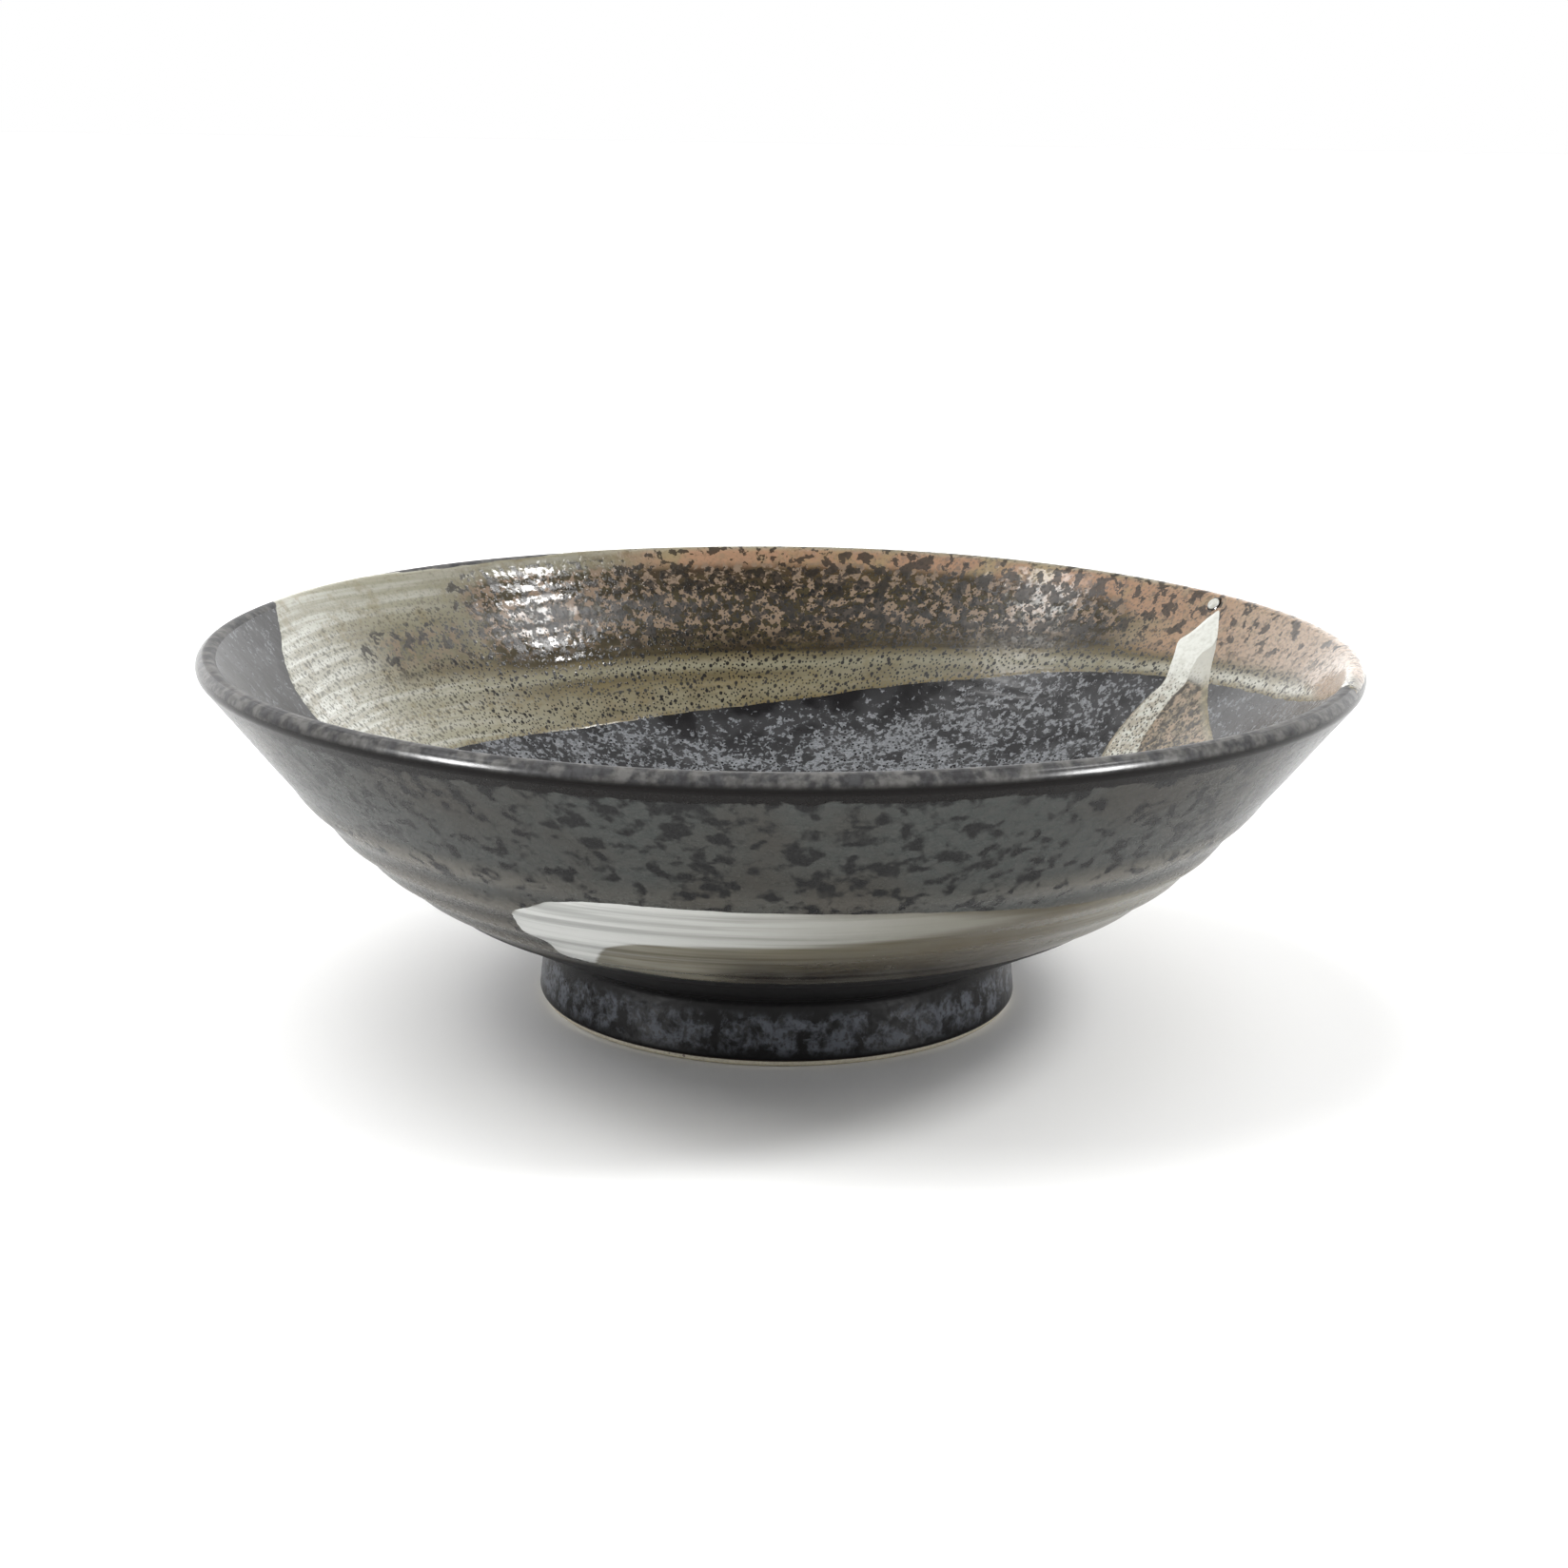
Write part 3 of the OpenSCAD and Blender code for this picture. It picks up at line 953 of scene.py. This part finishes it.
def make_foot():
    _, _, rows, normals = skin(
        np.concatenate([spread(U_CORNER, U_ROLL, 0.3), spread(U_ROLL, U_END, 0.09)[1:]]),
        spread(U_ROLL, U_CORNER, 2))
    height = rows[..., 2]
    # mottles only in the middle; the black top is partly painted shade under the wall
    middle = smooth(height, BARE_H + 0.4, BARE_H + 2) * smooth(height, FOOT_H - 1.2, FOOT_H - 3)
    edge = smooth(height, BARE_H + 0.35, BARE_H + 0.05)
    piece = turned("glaze_foot", rows, normals, {"middle": middle, "edge": edge})
    finish_piece(piece, paint_foot(), "foot_glaze", "foot_glaze")


CLAY_R = FOOT_R - GLAZE_T
HOLLOW_R = CLAY_R - FOOT_T


def make_hollow():
    """Glaze under the floor and down the inside of the foot."""
    corner = lean(HOLLOW_R - GLAZE_T, RECESS_Z)
    round_c = corner + np.array([-FILLET_R, -FILLET_R])
    roll_c = lean(HOLLOW_R, BARE_H + GLAZE_T)
    face = np.concatenate([
        path((0.5, RECESS_Z), (round_c[0], RECESS_Z)),
        arc(round_c, FILLET_R, math.pi / 2, 0, 9)[1:],
        path((corner[0], round_c[1]), roll_c - [GLAZE_T, 0])[1:],
        arc(roll_c, GLAZE_T, math.pi, 1.5 * math.pi, 9)[1:],
    ])
    back = path(roll_c, lean(HOLLOW_R, SEAM_Z), (0.5, SEAM_Z), step=4)
    seat = smooth(np.arange(len(face) + len(back)), len(face) - 0.5, len(face) - 1)[:, None]

    def marks(r, z, bearing):
        spiral = np.sin(2 * math.pi * r / 2.1 + np.radians(bearing))
        return -0.08 * (1 + spiral) * seat * smooth(r, 2, 5) * smooth(r, 24, 22)

    rows = revolve(np.concatenate([face, back]), marks)
    poles = np.array([[0, 0, RECESS_Z], [0, 0, SEAM_Z]])
    piece = turned("glaze_foot_hollow", rows, row_normals(rows), {}, poles)
    finish_piece(piece, paint_hollow(), "recess_glaze", "recess_glaze")


def make_clay():
    """The thrown clay under the glaze, down to the seam with the foot."""
    seam_r = lean(CLAY_R, SEAM_Z)[0]
    base = revolve(path((0.5, SEAM_Z), (seam_r, SEAM_Z), step=3)[:-1])
    u_seam = U_FOOT + (U_ROLL - U_FOOT) * 0.04
    u = np.concatenate([spread(u_seam, U_LIP_OUT, 1.5), spread(U_LIP_OUT, U_LIP_IN, 0.6)[1:],
                        spread(U_LIP_IN, 0.5, 1.5)[1:]])
    wall = on_wall(u[:, None] + 0 * BEARINGS, BEARINGS + 0 * u[:, None], -GLAZE_T)
    rows = np.concatenate([base, wall])
    poles = np.array([[0, 0, SEAM_Z], [0, 0, FLOOR_Z - GLAZE_T]])
    piece = turned("stoneware_body", rows, row_normals(rows), {}, poles)
    paint = paint_clay("stoneware", CLAY, CLAY_DARK)
    finish_piece(piece, paint, "stoneware", "clay_bowl")


def make_foot_ring():
    inside, outside = lean(HOLLOW_R, EDGE_R), lean(CLAY_R, EDGE_R)
    edge_in = arc(inside + [EDGE_R, 0], EDGE_R, math.pi, 1.5 * math.pi, 11)
    edge_out = arc(outside - [EDGE_R, 0], EDGE_R, -math.pi / 2, 0, 11)
    top = [lean(CLAY_R, SEAM_Z), lean(HOLLOW_R, SEAM_Z)]
    section = np.concatenate([
        edge_in, path(edge_in[-1], edge_out[0], step=0.12)[1:], edge_out[1:],
        path(edge_out[-1], *top, edge_in[0], step=0.4)[1:-1],
    ])

    def marks(r, z, bearing):
        groove = (1 - np.cos(2 * math.pi * r / 0.95 + np.radians(bearing))) / 2
        return 0.05 * groove * smooth(z, 0.3, 0.0)

    rows = revolve(section, marks)
    piece = turned("turned_foot", rows, row_normals(rows), {})
    paint = paint_clay("bare_clay", CLAY, CLAY_DARK)
    finish_piece(piece, paint, "bare_foot", "foot_ring")


def brush_place(bearing, across, radius=RIM_R):
    """Millimetres along the brush's path and across it."""
    return np.stack([np.radians(bearing) * radius, across, 0 * across], -1)


def broad_values(bearing, below):
    """Where the broad stroke is pale, dark with flakes, salmon, banded or speckled."""
    above = lower_edge(bearing) - below
    line_at = 1.5 + 8.6 * smooth(bearing, 58, -36)
    start = smooth(bearing, -56, -76)
    top_left = smooth(bearing, -38, -52) * smooth(below, 9, 4)
    strip = 0.7 * np.maximum(smooth(bearing, -14, -30) * smooth(below, 4, 2),
                             smooth(bearing, 70, 50) * smooth(below, 0.9, -0.2))
    low = smooth(above, line_at + 4, line_at)
    pale = np.maximum.reduce([start, top_left, strip, 0.8 * low * smooth(bearing, -30, -56)])
    reach_up = smooth(above, line_at + 1.0, line_at + 4) * smooth(below, 0, 6.5)
    middle = smooth(bearing, -48, -36) * smooth(bearing, 55, 38)
    left = 0.3 * smooth(bearing, -68, -58) * smooth(bearing, -36, -48) * smooth(below, 7, 11)
    right = 0.25 * smooth(bearing, 50, 64) * smooth(below, -2, 3)
    dark = reach_up * np.maximum.reduce([middle, left, right])
    dark = np.maximum(dark, 0.2 * smooth(bearing, -24, -8) * smooth(above, 6, 12))
    flaked = smooth(above, line_at + 2, line_at + 9) * smooth(dark, 0.1, 0.45)
    flaked *= smooth(bearing, 66, 50)
    blotted = smooth(above, line_at + 2, line_at + 6)
    end = smooth(bearing, 40, 76)
    bright = 0.8 * smooth(bearing, -58, -82)
    rim = smooth(bearing, -26, -10) * smooth(below, 7, 4.4) * smooth(below, -1.0, 0.2)
    warm = np.maximum(rim, smooth(bearing, 46, 60) * smooth(above, line_at + 1.5, line_at + 4))
    line = bump(above, line_at, 0.9) * smooth(bearing, -66, -50)
    deep = bump(above, line_at - 2, 1.1) * smooth(bearing, 10, -10) * smooth(bearing, -70, -50)
    deep = np.maximum(deep, bump(above, line_at + 2.6, 1.4) * smooth(bearing, -60, -40))
    thin = 0.3 * smooth(bearing, -60, -30) * smooth(bearing, 62, 40)
    fringe = 0.8 * smooth(above, 1.1, 0.1) + 0.4 * bump(above, line_at - 3.6, 1.0)
    specks = smooth(above, 30, 20) * (1 - 0.5 * warm) * (1 - 0.45 * smooth(bearing, -46, -62))
    right = smooth(bearing, -12, 22) * smooth(bearing, 100, 70)
    frost = right * (0.5 + 0.6 * smooth(below, 7, 11))
    frost = np.maximum(frost, 0.9 * smooth(below, 6.5, 9.5) * smooth(below, 16, 12))
    return {
        "pale": pale, "dark": dark, "flaked": flaked, "blotted": blotted, "warm": warm,
        "line": line, "deep": deep, "thin": thin, "fringe": fringe, "specks": specks,
        "frost": frost, "end": end, "bright": bright, "brush": brush_place(bearing, above),
    }


def make_broad():
    piece = patch("broad_brush_stroke", BROAD, broad_lift, spread(-88, 114, 0.5),
                  spread(-3.6, 33, 0.45), broad_values)
    finish_piece(piece, paint_broad(), "inner_slip", "inner_brush_stroke")


def streak_values(bearing, below):
    white = smooth(STREAK_WHITE.depth(bearing, below), -0.8, 0.8 + 1.4 * smooth(below, 14, 24))
    depth = STREAK.depth(bearing, below)
    edge = smooth(depth, 1.7, 0.6) * smooth(below, 11, 14) * (1 - white)
    veil = smooth(below, 5, 7.5) * smooth(below, 14.4, 12.8)
    return {"white": white, "edge": edge, "veil": veil, "specks": smooth(below, 9, 20),
            "brush": brush_place(bearing, below)}


def make_streak():
    piece = patch("white_streak_stroke", STREAK, streak_lift, spread(56, 140, 0.35),
                  spread(0.8, 53, 0.3), streak_values)
    finish_piece(piece, paint_streak(), "streak_slip", "inner_white_streak")


def make_drop():
    """One drop of white slip, with a thin dark edge."""
    def values(bearing, below):
        return {"edge": smooth(drop_depth(bearing, below), 0.28, 0.12)}

    span = DROP_SIZE[0] * 1.3
    swing = math.degrees(span / RIM_R)
    piece = patch("slip_drop", BROAD, drop_lift,
                  spread(DROP_AT[0] - swing, DROP_AT[0] + swing, 0.05),
                  spread(DROP_AT[1] - span, DROP_AT[1] + span, 0.06), values)
    finish_piece(piece, paint_drop(), "drop_slip", "white_drop")


def band_values(bearing, below):
    blur = smooth(bearing, -20, 15)
    white = smooth(BAND_WHITE.depth(bearing, below), -1 - 2 * blur, 0.8 + 2.5 * blur)
    white *= smooth(bearing, 50, 10)
    fade = smooth(bearing, -26, 25) * (1 - 0.7 * smooth(bearing, 28, 48))
    low = bump(below, 41, 5.5) * smooth(bearing, -13, -2) * smooth(bearing, 60, 14)
    brush = brush_place(bearing, below, BAND_R)
    return {"white": white, "low": low, "fade": fade, "brush": brush}


def make_band():
    piece = patch("outer_band_stroke", BAND, band_lift, spread(-36, 166, 0.5),
                  spread(20.5, 44.5, 0.4), band_values)
    finish_piece(piece, paint_band(), "outer_slip", "outer_brush_stroke")


# ------------ studio
VIEW_DISTANCE = 370 * MM
VIEW_HEIGHT = 0.3258   # radians above the horizon, from the middle of the resting circle
VIEW_YAW = 0.0018
VIEW_PITCH = 0.2487
VIEW_ROLL = 0.0142
LENS = 60.2   # for a sensor 36 wide
FLOOR_REACH = 12.0   # from the middle to an edge, in metres
FLOOR_COLOUR = (0.9, 0.9, 0.895, 1)
SIDE_LIGHT, BACK_LIGHT, PANEL_LIGHT, ROOM_LIGHT = 0.44, 1.5, 0.6, 0.13
# The lamps that only put a shine on the near lip: turn, height and strength
GLINTS = ((119, 10, 6), (116, 19, 7), (112, 27, 2))
GLINT_WIDTH = 12


def add_camera():
    data = bpy.data.cameras.new("camera")
    data.lens = LENS
    data.sensor_width = 36
    data.clip_start = 0.01
    camera = bpy.data.objects.new("camera", data)
    flat = math.cos(VIEW_PITCH)
    ahead = Vector((math.sin(VIEW_YAW) * flat, math.cos(VIEW_YAW) * flat, -math.sin(VIEW_PITCH)))
    level = ahead.cross(Vector((0, 0, 1))).normalized()
    above = level.cross(ahead)
    right = math.cos(VIEW_ROLL) * level + math.sin(VIEW_ROLL) * above
    up = math.cos(VIEW_ROLL) * above - math.sin(VIEW_ROLL) * level
    camera.matrix_world = Matrix((
        (right.x, up.x, -ahead.x, 0),
        (right.y, up.y, -ahead.y, -VIEW_DISTANCE * math.cos(VIEW_HEIGHT)),
        (right.z, up.z, -ahead.z, VIEW_DISTANCE * math.sin(VIEW_HEIGHT)),
        (0, 0, 0, 1),
    ))
    bpy.context.scene.collection.objects.link(camera)
    bpy.context.scene.camera = camera


def add_lamp(name, turn, height, width, strength, lights=True, shines=True):
    """A round softbox, far away. Its turn from +Y, its height and its width are in degrees."""
    data = bpy.data.lights.new(name, "SUN")
    data.angle = math.radians(width)
    data.energy = strength
    lamp = bpy.data.objects.new(name, data)
    turn, height = math.radians(turn), math.radians(height)
    flat = math.cos(height)
    towards = Vector((math.sin(turn) * flat, math.cos(turn) * flat, math.sin(height)))
    lamp.rotation_euler = towards.to_track_quat("Z", "Y").to_euler()
    lamp.visible_diffuse = lights
    lamp.visible_glossy = shines
    bpy.context.scene.collection.objects.link(lamp)


def add_world():
    """A studio lit from its sides and back, and dim behind the camera. It looks plain white."""
    world = bpy.data.worlds.new("studio")
    bpy.context.scene.world = world
    world.use_nodes = True
    world.node_tree.nodes.clear()
    sky = Nodes(world.node_tree)
    split = sky.node("ShaderNodeSeparateXYZ")
    sky.feed(split.inputs[0], sky.node("ShaderNodeTexCoord").outputs["Generated"])
    x, y, z = (Field(sky, socket) for socket in split.outputs)
    sides = sky.math("ABSOLUTE", x).step(0.08, 0.85)
    back = y.step(0.25, 0.65) * z.step(0.68, 0.35)
    panel = y.step(0.93, 0.99)
    light = sky.node("ShaderNodeBackground")
    glow = sides * SIDE_LIGHT + back * BACK_LIGHT + panel * PANEL_LIGHT + ROOM_LIGHT
    sky.feed(light.inputs["Strength"], glow)
    white = sky.node("ShaderNodeBackground")
    choose = sky.node("ShaderNodeMixShader")
    sky.feed(choose.inputs[0], sky.node("ShaderNodeLightPath").outputs["Is Camera Ray"])
    for background, socket in ((light, choose.inputs[1]), (white, choose.inputs[2])):
        background.inputs["Color"].default_value = (1, 1, 1, 1)
        sky.feed(socket, background.outputs[0])
    out = sky.node("ShaderNodeOutputWorld")
    sky.feed(out.inputs["Surface"], choose.outputs[0])


def add_floor():
    mesh = bpy.data.meshes.new("floor")
    corners = [(-1, -1), (1, -1), (1, 1), (-1, 1)]
    mesh.from_pydata([(x * FLOOR_REACH, y * FLOOR_REACH, 0) for x, y in corners],
                     [], [(0, 1, 2, 3)])
    floor = bpy.data.objects.new("floor", mesh)
    bpy.context.scene.collection.objects.link(floor)
    material = bpy.data.materials.new("paper")
    material.use_nodes = True
    shader = material.node_tree.nodes["Principled BSDF"]
    shader.inputs["Base Color"].default_value = FLOOR_COLOUR
    shader.inputs["Roughness"].default_value = 1.0
    shader.inputs["Specular IOR Level"].default_value = 0.0
    mesh.materials.append(material)


# ------------ the scene
add_camera()
add_world()
add_floor()
add_lamp("right_box", 97, 51, 11, 1.3)
add_lamp("left_box", -92, 53, 10, 0.35)
for turn, height, strength in GLINTS:
    add_lamp(f"right_glint_{height}", turn, height, GLINT_WIDTH, strength, lights=False)
    add_lamp(f"left_glint_{height}", -turn, height, GLINT_WIDTH, strength, lights=False)
add_lamp("right_fill", 80, 60, 52, 1.35, shines=False)
add_lamp("left_fill", -80, 60, 52, 2.9, shines=False)
bpy.context.scene.view_settings.view_transform = "Standard"

make_clay()
make_foot_ring()
make_inside()
make_lip()
make_outside()
make_foot()
make_hollow()
make_broad()
make_streak()
make_drop()
make_band()
